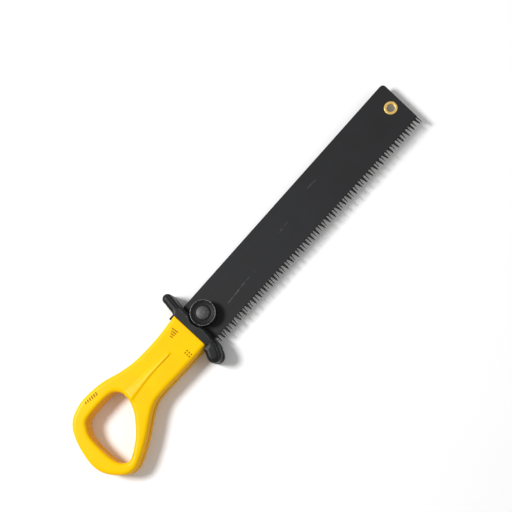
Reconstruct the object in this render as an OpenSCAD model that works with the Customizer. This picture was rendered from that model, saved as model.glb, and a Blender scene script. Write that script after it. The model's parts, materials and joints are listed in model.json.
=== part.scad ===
// Folding pruning saw with a split finger-loop handle and a push-button blade lock.
// Millimetres. X runs along the open blade to its tip, Y to its back, Z out of the front face.
// Every module is drawn from the pivot axis, with z = 0 in the middle of the blade.

/* [Blade] */
// Length of the toothed edge
tooth_line = 240; // [180:1:300]
// Thickness of the blade steel
blade_t = 1.2; // [0.9:0.1:1.5]
// Height of the blade's straight back above the pivot
back_y = 17; // [15:0.5:20]
// Depth of the tooth points below the pivot at the heel
heel_depth = 25.9; // [24:0.1:30]
// Depth of the tooth points below the pivot at the tip
tip_depth = 28.4; // [26:0.1:34]
// Distance between tooth points
tooth_pitch = 3.1; // [2.8:0.1:5]
// Height of one tooth
tooth_h = 5.2; // [3:0.1:6]
// Radius of the corner between back and tip
tip_r = 3.2; // [1:0.5:8]

/* [Eyelet] */
// Bore of the eyelet in the blade tip
eyelet_bore_d = 6.4; // [4:0.1:8]
// Outer diameter of the eyelet's flange
eyelet_flange_d = 11; // [9.5:0.1:14]
// Distance from the tip edge to the eyelet
eyelet_in = 10.8; // [7.5:0.1:20]
// Height of the eyelet above the pivot line
eyelet_y = -1.5; // [-8:0.5:6]

/* [Pivot] */
// Diameter of the barrel that the blade turns on
barrel_d = 7; // [6:0.1:7.4]
// Radial running clearance of the blade on the barrel
run_gap = 0.05; // [0.02:0.01:0.1]
// Diameter of the round knob
knob_d = 21; // [20.4:0.1:23]
// Height of the knob above the middle of the blade
knob_top = 9.4; // [9:0.1:9.6]
// Clearance between a blade face and its thrust washer
face_gap = 0.05; // [0.03:0.01:0.1]

/* [Lock] */
// Radius of the lock pin's circle round the pivot
lock_r = 7.2; // [7:0.1:7.4]
// Diameter of the thin part of the lock pin
lock_thin_d = 2.6; // [2:0.1:2.8]
// Diameter of the thick part of the lock pin
lock_thick_d = 4.2; // [3.6:0.1:4.4]
// How far the button is pressed
press_travel = 2; // [1.6:0.1:2.2]
// How far the blade folds, in degrees
fold_deg = 165; // [150:1:168]

/* [Guard] */
// Length of the cross guard along the saw
guard_l = 8.7; // [8:0.1:12]
// Front end of the guard behind the pivot
guard_front_x = -8.5; // [-10:0.1:-8]
// Half thickness of the guard
guard_z = 9.6; // [8:0.1:9.8]
// Height of the upper lug's end above the pivot
upper_lug_y = 34; // [32:0.5:38]
// Depth of the lower lug's end below the pivot
lower_lug_y = 35.5; // [34:0.5:42]

/* [Handle] */
// Thickness over both shells
handle_t = 20; // [19:0.5:24]
// Length of the shells behind the guard
grip_l = 131; // [120:1:150]
// Height of the neck's upper edge above the pivot
neck_top = 14.7; // [12:0.1:15]
// Depth of the neck's lower edge below the pivot
neck_low = 18.8; // [17:0.1:20]
// Height of the loop's upper edge above the pivot
loop_top = 26.5; // [22:0.5:30]
// Depth of the loop's lower edge below the pivot
loop_low = 42.8; // [40:0.5:48]
// Rounding of the shells' outer edges
edge_r = 3.4; // [2:0.2:4]
// Width of the slot that the blade folds into
slot_w = 2.8; // [2.4:0.1:3.2]
// Thickness of the steel liners
liner_t = 1.2; // [1:0.1:1.6]

/* [Finger loop] */
// Width of the loop's bar above the hole
bar_top = 13.5; // [11:0.5:14]
// Width of the loop's bar below the hole
bar_low = 7.9; // [7:0.1:12]
// Width of the loop's bar behind the hole
bar_butt = 14.5; // [12:0.5:18]
// Length of the hole along the saw
hole_l = 43.2; // [36:0.1:46]
// Rounding of the hole's edges
hole_r = 2.6; // [1:0.2:3]

/* [Screws] */
// Thread diameter of the handle screws
screw_d = 3; // [2.5:0.1:3.2]
// Head diameter of the handle screws
screw_head_d = 5.6; // [5:0.1:6]
// Outer diameter of the brass inserts
insert_d = 4.6; // [4.2:0.1:5]
// Thread diameter of the liner and guard screws
small_d = 2.5; // [2:0.1:2.6]
// Thread diameter of the pivot screw
pivot_screw_d = 4; // [3:0.1:4.4]

/* [Hidden] */
$fn = 72;
past = 1; // how far a cutter runs past a face
fit = 0.05; // clearance round a screw or an insert
spline_steps = 6;

// Blade
half_t = blade_t / 2;
blade_heel_x = -9.5;
heel_cut = [2.5, 1.6];
tip_slant = 2.6;
first_tooth_x = blade_heel_x + 1.5;
tooth_count = 1 + floor((tooth_line - tip_slant) / tooth_pitch - 0.55);
tip_x = first_tooth_x + tooth_line;
tang_r = 13.5;
eyelet_x = tip_x - eyelet_in;
eyelet_wall = 0.55;

// Layers through the thickness, counted from the middle of the blade
slot_z = slot_w / 2;
liner_z = slot_z + liner_t;
shell_z = handle_t / 2;
floor_t = 0.8;
floor_z = liner_z + floor_t;
cap_z = liner_z + 3.4;

// Lock: the thick part of the pin rests just behind the blade
pin_gap = 0.2;
pin_fit = 0.1;
thick_l = 1.2;
thick_top = -half_t - pin_gap;
slot_fit = 0.2;
carrier_z = 6.6;
carrier_t = 1;
housing_wall = 1.2;
housing_r = knob_d / 2;
bowl_r = housing_r - housing_wall;
button_r = 5.6;
button_top = 9.9;
cap_low = 8.2;
button_gap = 0.08;
flange_r = 4.6;
wire_d = 0.5;
spring_r = 5.2;
spring_turns = 2;

// Guard
guard_back_x = guard_front_x - guard_l;
guard_top_y = 18;
guard_low_y = -21;
guard_edge = 1.2;
lug_r = 4.2;
lug_x = guard_back_x + guard_l / 2 + 0.3;
lug_screw = [lug_x, upper_lug_y - lug_r - 0.8];
low_lug_r = 6.1;
low_lug_a = [guard_front_x - low_lug_r, -20];
low_lug_b = [low_lug_a[0] - 4, -lower_lug_y + low_lug_r];
tab_l = 5;
tab_gap = 0.2;
tab_z = 6;
guard_screw_y = [9, -11];
guard_screw_x = guard_back_x + 3.2;

// Handle
butt_x = guard_back_x - grip_l;
land_gap = 1.5;
pocket_gap = 0.2;
liner_in = 2.4;
liner_l = 60;
tongue_y = [12, -15];
liner_screws = [[guard_back_x - 9, 7], [guard_back_x - 9, -11], [guard_back_x - 52, 0]];
handle_screw_points = [
    [guard_back_x - 0.5 * grip_l, neck_top - 1.8],
    [guard_back_x - 0.725 * grip_l, loop_top - bar_top / 2],
    [butt_x + 11.5, 8]
];
insert_l = 5;
small_insert_l = 3.6;
small_insert_d = 3.8;
small_head_d = 4.6;
small_head_h = 1.1;
screw_head_h = 2;
rib_h = 0.4;
hole_top = loop_top - bar_top;
hole_low = bar_low - loop_low;
hole_back = butt_x + bar_butt;

// Outline of the handle: [share of the grip's length, edge, share from the neck's edge to the loop's]
upper_edge = [
    [0, 0.16], [0.168, 0], [0.35, 0.06], [0.472, 0.34], [0.596, 0.8], [0.719, 1],
    [0.811, 0.93], [0.904, 0.45], [0.965, -0.65]
];
lower_edge = [
    [1, -0.24], [0.981, 0.34], [0.908, 0.85], [0.846, 1], [0.784, 0.94], [0.661, 0.625],
    [0.538, 0.21], [0.48, 0.054], [0.418, -0.017], [0.233, 0], [0, 0.02]
];
upper_points = [for (p = upper_edge)
    [guard_back_x - p[0] * grip_l, neck_top + p[1] * (loop_top - neck_top)]];
lower_points = [for (p = lower_edge)
    [guard_back_x - p[0] * grip_l, -neck_low - p[1] * (loop_low - neck_low)]];
handle_outline = open_spline(concat(upper_points, lower_points));

// Moves the pivot-centred drawing so that the origin is the middle of the box's bottom face
frame_shift = [
    -(tip_x + min([for (p = handle_outline) p[0]])) / 2,
    -(upper_lug_y + min([for (p = handle_outline) p[1]])) / 2,
    shell_z
];

// Outline of the finger hole, as shares of its box
hole_shares = [
    [0.243, 1], [0.093, 0.896], [0.012, 0.722], [0, 0.374], [0.046, 0.113], [0.174, 0],
    [0.289, 0.008], [0.417, 0.077], [0.602, 0.192], [0.782, 0.357], [0.914, 0.514],
    [1, 0.722], [0.972, 0.896], [0.787, 1]
];
hole_outline = closed_spline([for (p = hole_shares)
    [hole_back + p[0] * hole_l, hole_low + p[1] * (hole_top - hole_low)]]);

// Catmull-Rom curves through a list of points
function spline_at(a, b, c, d, t) = 0.5 * (2 * b + (c - a) * t
    + (2 * a - 5 * b + 4 * c - d) * t * t + (3 * b - a - 3 * c + d) * t * t * t);
function open_spline(p) = concat([for (i = [0 : len(p) - 2], k = [0 : spline_steps - 1])
    spline_at(p[max(i - 1, 0)], p[i], p[i + 1], p[min(i + 2, len(p) - 1)], k / spline_steps)],
    [p[len(p) - 1]]);
function closed_spline(p) = let (n = len(p)) [for (i = [0 : n - 1], k = [0 : spline_steps - 1])
    spline_at(p[(i + n - 1) % n], p[i], p[(i + 1) % n], p[(i + 2) % n], k / spline_steps)];

// A closed outline moved inwards (to the left of its direction) by a distance
function turned(v) = [-v[1], v[0]] / norm(v);
function inset(p, by) = let (n = len(p)) [for (i = [0 : n - 1])
    p[i] + by * turned(p[(i + 1) % n] - p[(i + n - 1) % n])];
function at_height(p, z) = [for (q = p) [q[0], q[1], z]];

// Skin over a stack of closed loops with the same number of points. Each end is closed by a strip
// that joins point i to the point as far from the loop's other end.
module loft(loops) {
    n = len(loops[0]);
    last = len(loops) - 1;
    strip = [for (i = [0 : floor((n - 1) / 2) - 1])
        each concat([[i, i + 1, n - 1 - i]], n - 2 - i > i + 1 ? [[i + 1, n - 2 - i, n - 1 - i]] : [])];
    polyhedron(
        points = [for (loop = loops, p = loop) p],
        faces = concat(
            strip,
            [for (k = [0 : last - 1], i = [0 : n - 1])
                [k * n + i, (k + 1) * n + i, (k + 1) * n + (i + 1) % n, k * n + (i + 1) % n]],
            [for (t = strip) [last * n + t[2], last * n + t[1], last * n + t[0]]]));
}

module in_frame() {
    translate(frame_shift) children();
}

// Plate of a 2-D shape between two heights
module plate(low, high) {
    translate([0, 0, low]) linear_extrude(high - low) children();
}

module rod(at, d, low, high) {
    translate([at[0], at[1], low]) cylinder(d = d, h = high - low);
}

module mirrored_back(back) {
    mirror([0, 0, back ? 1 : 0]) children();
}

// Screw with its countersunk head's flat face at the slot, pointing away from the slot
module slot_screw(at, reach) {
    translate([at[0], at[1], slot_z]) {
        cylinder(d1 = small_head_d, d2 = small_d, h = small_head_h);
        cylinder(d = small_d, h = reach);
    }
}

module slot_screw_hole(at) {
    translate([at[0], at[1], slot_z])
        cylinder(d1 = small_head_d + 2 * fit, d2 = small_d + 2 * fit, h = small_head_h);
    rod(at, small_d + 2 * fit, slot_z, liner_z + past);
}

// Zone swept by the blade as it folds, without limits towards the lower side
module blade_zone(half_h) {
    rotate([0, 0, -fold_deg])
        translate([-2 * tooth_line, -tip_depth - land_gap, -half_h])
            cube([4 * tooth_line, 4 * tooth_line, 2 * half_h]);
}

module tooth_edge_2d() {
    points = [for (i = [0 : tooth_count - 1])
        let (x = first_tooth_x + i * tooth_pitch,
            depth = heel_depth + (tip_depth - heel_depth) * i / (tooth_count - 1))
        each [[x, -depth + tooth_h], [x + 0.55 * tooth_pitch, -depth]]];
    polygon(concat(points, [
        [tip_x - tip_slant, -tip_depth + tooth_h], [tip_x, back_y - tip_r],
        [tip_x - tip_r * (1 - cos(45)), back_y - tip_r * (1 - sin(45))],
        [tip_x - tip_r, back_y], [blade_heel_x + heel_cut[0], back_y],
        [blade_heel_x, back_y - heel_cut[1]],
        [blade_heel_x, -heel_depth + tooth_h]]));
}

module lock_slot_2d() {
    difference() {
        circle(r = lock_r + lock_thin_d / 2 + slot_fit);
        circle(r = lock_r - lock_thin_d / 2 - slot_fit);
        far = 4 * lock_r;
        polygon([[0, 0], [-far, 0], [-far, far], [far, far],
            [far * cos(180 + fold_deg), far * sin(180 + fold_deg)]]);
    }
    for (angle = [180, 180 + fold_deg])
        rotate(angle) translate([lock_r, 0]) circle(d = lock_thick_d + 4 * pin_fit);
}

module blade() color("#343436") in_frame() difference() {
    plate(-half_t, half_t) {
        tooth_edge_2d();
        circle(r = tang_r);
    }
    rod([0, 0], barrel_d + 2 * run_gap, -past, past);
    plate(-past, past) lock_slot_2d();
    rod([eyelet_x, eyelet_y], eyelet_bore_d + 2 * eyelet_wall, -past, past);
}

// Brass tube with a rounded flange on the front
module tip_eyelet() color("goldenrod") in_frame()
    translate([eyelet_x, eyelet_y, 0]) rotate_extrude() {
        bore = eyelet_bore_d / 2;
        flange = eyelet_flange_d / 2;
        translate([bore, -half_t - 0.6]) square([eyelet_wall, blade_t + 0.6]);
        translate([bore, half_t]) square([flange - bore - 0.4, 0.8]);
        translate([flange - 0.4, half_t]) square([0.4, 0.4]);
        translate([flange - 0.4, half_t + 0.4]) circle(r = 0.4, $fn = 24);
    }

module eyelet_washer() color("goldenrod") in_frame() difference() {
    rod([eyelet_x, eyelet_y], eyelet_flange_d - 1, -half_t - 0.6, -half_t);
    rod([eyelet_x, eyelet_y], eyelet_bore_d + 2 * eyelet_wall, -past - half_t, past);
}

// Half of the handle on the +Z side, rounded at the outer edge and round the hole
module shell_body() {
    outer_steps = 4;
    difference() {
        loft(concat([at_height(handle_outline, 0)],
            [for (k = [0 : outer_steps]) let (a = 90 * k / outer_steps)
                at_height(inset(handle_outline, edge_r * (1 - cos(a))),
                    shell_z - edge_r + edge_r * sin(a))]));
        loft(concat([at_height(hole_outline, -past)],
            [for (k = [0 : outer_steps]) let (a = 90 * k / outer_steps)
                at_height(inset(hole_outline, -hole_r * (1 - cos(a))),
                    shell_z - hole_r + hole_r * sin(a))],
            [at_height(inset(hole_outline, -hole_r), shell_z + past)]));
    }
}

// The stretch of the handle's outline that the liners follow, without its front end
function near_neck(p) = p[0] < guard_back_x - 1 && p[0] > guard_back_x - liner_l;

module liner_2d(gap = 0) {
    high = [for (p = handle_outline) if (near_neck(p) && p[1] > 0) p];
    low = [for (p = handle_outline) if (near_neck(p) && p[1] < 0) p];
    edge = liner_in - gap;
    polygon(concat(
        [[guard_back_x + gap, upper_points[0][1] - edge]],
        [for (p = high) [p[0] - gap, p[1] - edge]],
        [for (p = low) [p[0] - gap, p[1] + edge]],
        [[guard_back_x + gap, lower_points[len(lower_points) - 1][1] + edge]]));
}

// The liner's nose under the guard and the knob
module tongue_2d() {
    circle(r = housing_r - 0.5);
    nose_x = guard_front_x - 0.5;
    polygon([[0, 6], [nose_x, 6], [nose_x - 1, tongue_y[0]], [guard_back_x - 4, tongue_y[0]],
        [guard_back_x - 4, tongue_y[1]], [nose_x - 1, tongue_y[1]], [nose_x, -6], [0, -6]]);
}

module liner(back) {
    difference() {
        plate(slot_z, liner_z) {
            liner_2d();
            tongue_2d();
        }
        rod([0, 0], barrel_d + 2 * fit, 0, liner_z + past);
        rod([-lock_r, 0], (back ? lock_thick_d : lock_thin_d) + 2 * pin_fit, 0, liner_z + past);
        for (p = liner_screws) slot_screw_hole(p);
        for (y = guard_screw_y) slot_screw_hole([guard_screw_x, y]);
    }
}

module front_liner() color("silver") in_frame() liner(false);

module back_liner() color("silver") in_frame() mirrored_back(true) liner(true);

// Cored-out pockets under the liner leave a rib between them
module core_pockets() {
    pocket_l = 15;
    for (x = [guard_back_x - 16 - pocket_l, guard_back_x - 33 - pocket_l], y = [-13, 0.8])
        translate([x, y, liner_z - past])
            cube([pocket_l, 9.4, shell_z - liner_z - 3 + past]);
}

module shell(back) {
    difference() {
        shell_body();
        mirrored_back(back) blade_zone(slot_z);
        plate(slot_z - past, liner_z) liner_2d(pocket_gap);
        core_pockets();
        for (p = liner_screws) rod(p, small_insert_d, liner_z - past, liner_z + small_insert_l);
        for (p = handle_screw_points)
            if (back) {
                rod(p, screw_d + 2 * fit, -past, shell_z);
                rod(p, screw_head_d + 6 * fit, shell_z - screw_head_h - 1, shell_z + past);
            } else {
                rod(p, insert_d, -past, insert_l);
                rod(p, screw_d + 2 * fit, -past, insert_l + 1.5);
            }
    }
}

// Raised tapered rib that runs down the neck to the finger hole
module neck_rib() {
    start_x = guard_back_x - 23.5;
    end_x = guard_back_x - 71;
    plate(shell_z - rib_h, shell_z) polygon([[start_x, 0.3], [start_x + 1, -1], [start_x, -2.3],
        [end_x, -4], [end_x, 2.4]]);
}

// The rib and the raised marks stand in a shallow recess, so their tops are the front face
module face_recess() {
    plate(shell_z - rib_h, shell_z + past) polygon([
        [guard_back_x - 20, neck_top - 6], [guard_back_x - 20, -neck_low + 6],
        [guard_back_x - 0.56 * grip_l, -neck_low + 6.2],
        [guard_back_x - 0.54 * grip_l, neck_top - 5]]);
}

module handle_front_shell() color("gold") in_frame() union() {
    difference() {
        shell(false);
        face_recess();
    }
    neck_rib();
}

module handle_back_shell() color("gold") in_frame() mirrored_back(true) shell(true);

module capsule_2d(a, b, r) {
    along = turned(b - a) * r;
    translate(a) circle(r = r);
    translate(b) circle(r = r);
    polygon([a + along, a - along, b - along, b + along]);
}

module guard_2d() {
    difference() {
        union() {
            translate([guard_back_x, guard_low_y]) square([guard_l, guard_top_y - guard_low_y]);
            capsule_2d([lug_x, 0], [lug_x, upper_lug_y - lug_r], lug_r);
            capsule_2d(low_lug_a, low_lug_b, low_lug_r);
        }
        circle(r = housing_r + 0.3);
        translate([guard_back_x - 40, -neck_low - 1])
            square([40, neck_low + neck_top + 2]);
    }
}

// Half of the guard on the +Z side, with a stepped edge and lugs that reach down to the slot
module guard(back) {
    difference() {
        union() {
            plate(liner_z, guard_z) guard_2d();
            plate(slot_z, liner_z) intersection() {
                guard_2d();
                union() {
                    translate([-60, 18]) square([60, 40]);
                    translate([-60, -80]) square([60, 61]);
                }
            }
            tab_low_y = upper_points[0][1] + tab_gap;
            translate([guard_back_x - tab_l, tab_low_y, slot_z])
                cube([tab_l + 1, guard_top_y - tab_low_y, tab_z - slot_z]);
        }
        translate([guard_front_x - guard_edge, -20, guard_z])
            rotate([0, 45, 0]) translate([0, 0, -guard_edge]) cube([6, 38, 2 * guard_edge]);
        for (y = guard_screw_y)
            rod([guard_screw_x, y], small_d, liner_z - past, liner_z + 4.6);
        rod(lug_screw, small_d + 2 * fit, 0, back ? guard_z + past : guard_z - 3);
        if (back) rod(lug_screw, small_head_d + 4 * fit, guard_z - 1.8, guard_z + past);
    }
}

module guard_front() color("#323235") in_frame() guard(false);

module guard_back() color("#323235") in_frame() mirrored_back(true) guard(true);

module guard_spacer() color("silver") in_frame() difference() {
    rod(lug_screw, 5, -slot_z, slot_z);
    rod(lug_screw, small_d + 2 * fit, -slot_z - past, slot_z + past);
}

module guard_screw() color("silver") in_frame() {
    rod(lug_screw, small_head_d, -guard_z + 0.3, -guard_z + 1.8);
    rod(lug_screw, small_d, -guard_z + 0.3, guard_z - 3.4);
}

module guard_screws(back) {
    for (y = guard_screw_y) mirrored_back(back) slot_screw([guard_screw_x, y], 5);
}

module guard_front_screws() color("silver") in_frame() guard_screws(false);

module guard_back_screws() color("silver") in_frame() guard_screws(true);

module liner_screw_set(back) {
    for (p = liner_screws) mirrored_back(back) slot_screw(p, 4.2);
}

module front_liner_screws() color("silver") in_frame() liner_screw_set(false);

module back_liner_screws() color("silver") in_frame() liner_screw_set(true);

module liner_insert_set(back) {
    for (p = liner_screws) mirrored_back(back) difference() {
        rod(p, small_insert_d, liner_z, liner_z + small_insert_l);
        rod(p, small_d, liner_z - past, liner_z + small_insert_l + past);
    }
}

module front_liner_inserts() color("goldenrod") in_frame() liner_insert_set(false);

module back_liner_inserts() color("goldenrod") in_frame() liner_insert_set(true);

module handle_screws() color("silver") in_frame()
    for (p = handle_screw_points) {
        rod(p, screw_d, -shell_z + 1, insert_l);
        difference() {
            rod(p, screw_head_d, -shell_z + 1, -shell_z + 1 + screw_head_h);
            translate([p[0], p[1], -shell_z + 0.5]) cylinder(d = 2.6, h = 1.6, $fn = 6);
        }
    }

module handle_inserts() color("goldenrod") in_frame()
    for (p = handle_screw_points) difference() {
        rod(p, insert_d, 0.2, insert_l);
        rod(p, screw_d, -past, insert_l + past);
    }

// Flanged bush: the blade, the washers and both liners sit on it
module pivot_barrel() color("silver") in_frame() difference() {
    union() {
        rod([0, 0], barrel_d, -liner_z, floor_z + 0.4);
        rod([0, 0], 2 * flange_r, floor_z, floor_z + 0.8);
    }
    rod([0, 0], pivot_screw_d + 2 * fit, -liner_z - past, liner_z);
}

module pivot_screw() color("silver") in_frame() difference() {
    union() {
        rod([0, 0], barrel_d, -cap_z + 0.3, -liner_z - 1.2);
        rod([0, 0], pivot_screw_d, -cap_z + 0.3, liner_z - 0.4);
    }
    translate([0, 0, -cap_z]) cylinder(d = 2.9, h = 1.8, $fn = 6);
}

module thrust_washer(back) {
    mirrored_back(back) difference() {
        rod([0, 0], barrel_d + 2.6, half_t + face_gap, slot_z);
        rod([0, 0], barrel_d + 4 * fit, 0, slot_z + past);
    }
}

module front_thrust_washer() color("peru") in_frame() thrust_washer(false);

module back_thrust_washer() color("peru") in_frame() thrust_washer(true);

// Turned cup on the front liner: it holds the button's spring and guides the lock pin
module knob_housing() color("#2e2e31") in_frame() difference() {
    rod([0, 0], knob_d, liner_z, knob_top);
    rod([0, 0], 2 * bowl_r, floor_z, knob_top + past);
    rod([0, 0], barrel_d + 2 * fit, liner_z - past, floor_z + past);
    rod([-lock_r, 0], lock_thin_d + 2 * pin_fit, liner_z - past, floor_z + past);
}

// Pressed ring with a dished face
module knob_cap() color("#262628") in_frame() rotate_extrude() {
    inner = button_r + button_gap;
    polygon([[inner, cap_low], [bowl_r, cap_low], [bowl_r, knob_top - 0.1],
        [bowl_r - 0.5, knob_top - 0.1], [inner + 0.8, cap_low + 0.7], [inner, cap_low + 0.7]]);
}

module lock_button() color("#3a3a3c") in_frame() difference() {
    union() {
        rod([0, 0], 2 * bowl_r - 0.8, carrier_z, carrier_z + carrier_t);
        rod([0, 0], 2 * button_r, carrier_z, button_top - 1.2);
        intersection() {
            dome_r = (button_r * button_r + 1.2 * 1.2) / (2 * 1.2);
            translate([0, 0, button_top - dome_r]) sphere(r = dome_r);
            rod([0, 0], 2 * button_r, carrier_z + 0.5, button_top + past);
        }
    }
    rod([-lock_r, 0], lock_thin_d, carrier_z - past, carrier_z + carrier_t + past);
}

module lock_pin() color("silver") in_frame() {
    rod([-lock_r, 0], lock_thin_d, thick_top - thick_l, carrier_z + carrier_t);
    rod([-lock_r, 0], lock_thick_d, thick_top - thick_l, thick_top);
}

// Two-turn compression spring between the knob's floor and the button's carrier
module button_spring() color("silver") in_frame() {
    sides = 8;
    rings = 24 * spring_turns;
    low = floor_z + wire_d / 2 + 0.02;
    rise = carrier_z - floor_z - wire_d - 0.04;
    loft([for (k = [0 : rings]) let (a = 360 * spring_turns * k / rings)
        [for (s = [0 : sides - 1]) let (b = 360 * s / sides, r = spring_r + wire_d / 2 * cos(b))
            [r * cos(a), r * sin(a), low + rise * k / rings + wire_d / 2 * sin(b)]]]);
}

// Boss on the back liner with the pocket that the lock pin drops into
module back_cap() color("#323235") in_frame() difference() {
    rod([0, 0], knob_d, -cap_z, -liner_z);
    rod([0, 0], pivot_screw_d + 2 * fit, -cap_z - past, past);
    rod([0, 0], barrel_d + 2 * fit, -cap_z - past, -liner_z - 1.2);
    rod([-lock_r, 0], lock_thick_d + 2 * pin_fit, thick_top - thick_l - press_travel - 0.5, past);
}

blade();
tip_eyelet();
eyelet_washer();
handle_front_shell();
handle_back_shell();
front_liner();
back_liner();
guard_front();
guard_back();
guard_spacer();
guard_screw();
guard_front_screws();
guard_back_screws();
front_liner_screws();
back_liner_screws();
front_liner_inserts();
back_liner_inserts();
handle_screws();
handle_inserts();
pivot_barrel();
pivot_screw();
front_thrust_washer();
back_thrust_washer();
knob_housing();
knob_cap();
lock_button();
lock_pin();
button_spring();
back_cap();
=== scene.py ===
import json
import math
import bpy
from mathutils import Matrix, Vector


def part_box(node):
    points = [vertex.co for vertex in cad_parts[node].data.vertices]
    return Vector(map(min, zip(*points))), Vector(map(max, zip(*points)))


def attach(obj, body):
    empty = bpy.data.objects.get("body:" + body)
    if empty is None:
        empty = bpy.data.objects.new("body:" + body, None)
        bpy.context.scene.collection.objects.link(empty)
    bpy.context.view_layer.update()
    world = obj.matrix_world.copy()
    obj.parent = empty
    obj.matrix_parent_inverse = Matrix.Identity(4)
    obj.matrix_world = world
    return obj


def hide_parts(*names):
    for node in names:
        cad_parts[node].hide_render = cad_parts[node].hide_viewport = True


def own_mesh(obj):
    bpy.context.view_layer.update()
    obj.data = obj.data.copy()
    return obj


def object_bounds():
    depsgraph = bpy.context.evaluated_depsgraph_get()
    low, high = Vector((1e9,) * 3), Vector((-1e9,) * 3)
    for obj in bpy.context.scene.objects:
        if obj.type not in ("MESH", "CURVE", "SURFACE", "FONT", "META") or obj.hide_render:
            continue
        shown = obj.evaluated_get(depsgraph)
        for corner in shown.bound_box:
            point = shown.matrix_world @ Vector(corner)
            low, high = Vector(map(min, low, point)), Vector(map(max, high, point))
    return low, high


bl_info = {
    "name": "Folding Pruning Saw",
    "version": (1, 0, 0),
    "blender": (4, 5, 0),
    "location": "View3D > Sidebar > Saw",
    "description": "Builds the finished surfaces of a folding pruning saw around its construction frame",
    "category": "Object",
}

import bmesh
import bpy
import numpy as np
from mathutils import Matrix, Vector

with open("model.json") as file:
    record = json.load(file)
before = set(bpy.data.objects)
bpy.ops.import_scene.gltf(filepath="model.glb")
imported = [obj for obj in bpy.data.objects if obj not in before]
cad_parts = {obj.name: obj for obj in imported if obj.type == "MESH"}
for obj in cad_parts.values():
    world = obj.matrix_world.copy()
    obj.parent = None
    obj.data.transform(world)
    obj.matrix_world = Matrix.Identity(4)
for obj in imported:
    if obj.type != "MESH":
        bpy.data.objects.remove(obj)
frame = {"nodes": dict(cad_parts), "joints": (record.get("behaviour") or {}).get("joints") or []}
CAD_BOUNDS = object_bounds()

# Shape functions work in millimetres from the pivot axis, with z = 0 in the middle of the blade.
MM = 0.001
MICRON = 0.000001


def box_mm(node):
    """Lowest and highest corner of a construction node, in millimetres from the pivot."""
    low, high = (np.array(corner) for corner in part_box(node))
    return (low - PIVOT) / MM, (high - PIVOT) / MM


def middle_mm(node):
    """X and Y of the middle of a construction node, in millimetres from the pivot."""
    return sum(box_mm(node))[:2] / 2


KNOB_BOX = [np.array(corner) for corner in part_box("knob_housing")]
BLADE_BOX = [np.array(corner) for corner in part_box("blade")]
PIVOT = np.array([*(sum(KNOB_BOX) / 2)[:2], (sum(BLADE_BOX) / 2)[2]])
SHELL_HIGH = box_mm("handle_front_shell")[1]
BACK_SHELL_LOW = box_mm("handle_back_shell")[0]
BLADE_HIGH = box_mm("blade")[1]
GUARD_LOW, GUARD_HIGH = box_mm("guard_front")
HOUSING_LOW, HOUSING_HIGH = box_mm("knob_housing")
CAP_LOW, CAP_HIGH = box_mm("knob_cap")
BUTTON_LOW, BUTTON_HIGH = box_mm("lock_button")
BACK_CAP_LOW, BACK_CAP_HIGH = box_mm("back_cap")
EYELET_LOW, EYELET_HIGH = box_mm("tip_eyelet")
WASHER_LOW, WASHER_HIGH = box_mm("eyelet_washer")
SPRING_LOW, SPRING_HIGH = box_mm("button_spring")
EYELET_MIDDLE = middle_mm("tip_eyelet")
PIN_MIDDLE = middle_mm("lock_pin")

SLOT_Z = box_mm("front_liner")[0][2]
HALF_BLADE = BLADE_HIGH[2]
JOINTS = {joint["name"]: joint for joint in frame["joints"]}
FOLD_DEG = JOINTS["blade_fold"]["range_deg"][1]
PRESS_MM = JOINTS["button_press"]["range_m"][1] / MM

# Sizes of the construction that its boxes don't give, in millimetres
GRIP_MM = 131.0
LOOP_TOP_MM = 26.5
LOOP_LOW_MM = 42.8
BAR_TOP_MM = 13.5
BAR_LOW_MM = 7.9
BAR_BUTT_MM = 14.5
HOLE_LENGTH_MM = 43.2
HEEL_X_MM = -9.5
FIRST_TOOTH_MM = 1.5
HEEL_DEPTH_MM = 25.9
HEEL_CUT_MM = (2.5, 1.6)
TIP_DEPTH_MM = 28.4
TIP_R_MM = 3.2
TIP_SLANT_MM = 2.6
TANG_R_MM = 13.5
LAND_GAP_MM = 1.5
CHAMFER_MM = 0.16
BARREL_HOLE_R_MM = 3.55
HOUSING_BORE_R_MM = 3.6
EYELET_HOLE_R_MM = 3.75
EYELET_BORE_R_MM = 3.2
EYELET_WALL_MM = 0.55
LOCK_R_MM = 7.2
LOCK_SLOT_HALF_MM = 1.5
KEYHOLE_R_MM = 2.3
GUARD_FRONT_MM = -8.5
UPPER_LUG_R_MM = 4.2
LOWER_LUG_R_MM = 6.1
TAB_MM = {"length": 5.0, "low": 16.79, "high": 18.0, "top": 6.0}
BUTTON_R_MM = 5.6
BUTTON_HOLE_R_MM = 5.68
PIN_HOLE_R_MM = 1.31
PIN_POCKET_R_MM = 2.2
SCREW_HOLE_R_MM = 2.05
SCREW_HEAD_R_MM = 3.55
COUNTERBORE_MM = {"radius": 3.0, "depth": 3.1}
GUARD_SEAT_MM = {"radius": 2.6, "depth": 1.8}
WIRE_R_MM = 0.3
SPRING_TURNS = 2

# Angles between faces from which their edge is drawn sharp
SHARP_DEG = 38.0
SHARP_GUARD_DEG = 32.0
SHARP_BLADE_DEG = 25.0
SHARP_TOOTH_DEG = 10.0


# ---------------------------------------------------------------- settings

def length(name, description, default):
    """A size that the user can change."""
    return bpy.props.FloatProperty(
        name=name, description=description, default=default, min=0.0, unit="LENGTH", subtype="DISTANCE")


def colour(name, description, default):
    """A colour that the user can change."""
    return bpy.props.FloatVectorProperty(
        name=name, description=description, default=default, size=3, min=0.0, max=1.0, subtype="COLOR")


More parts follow.
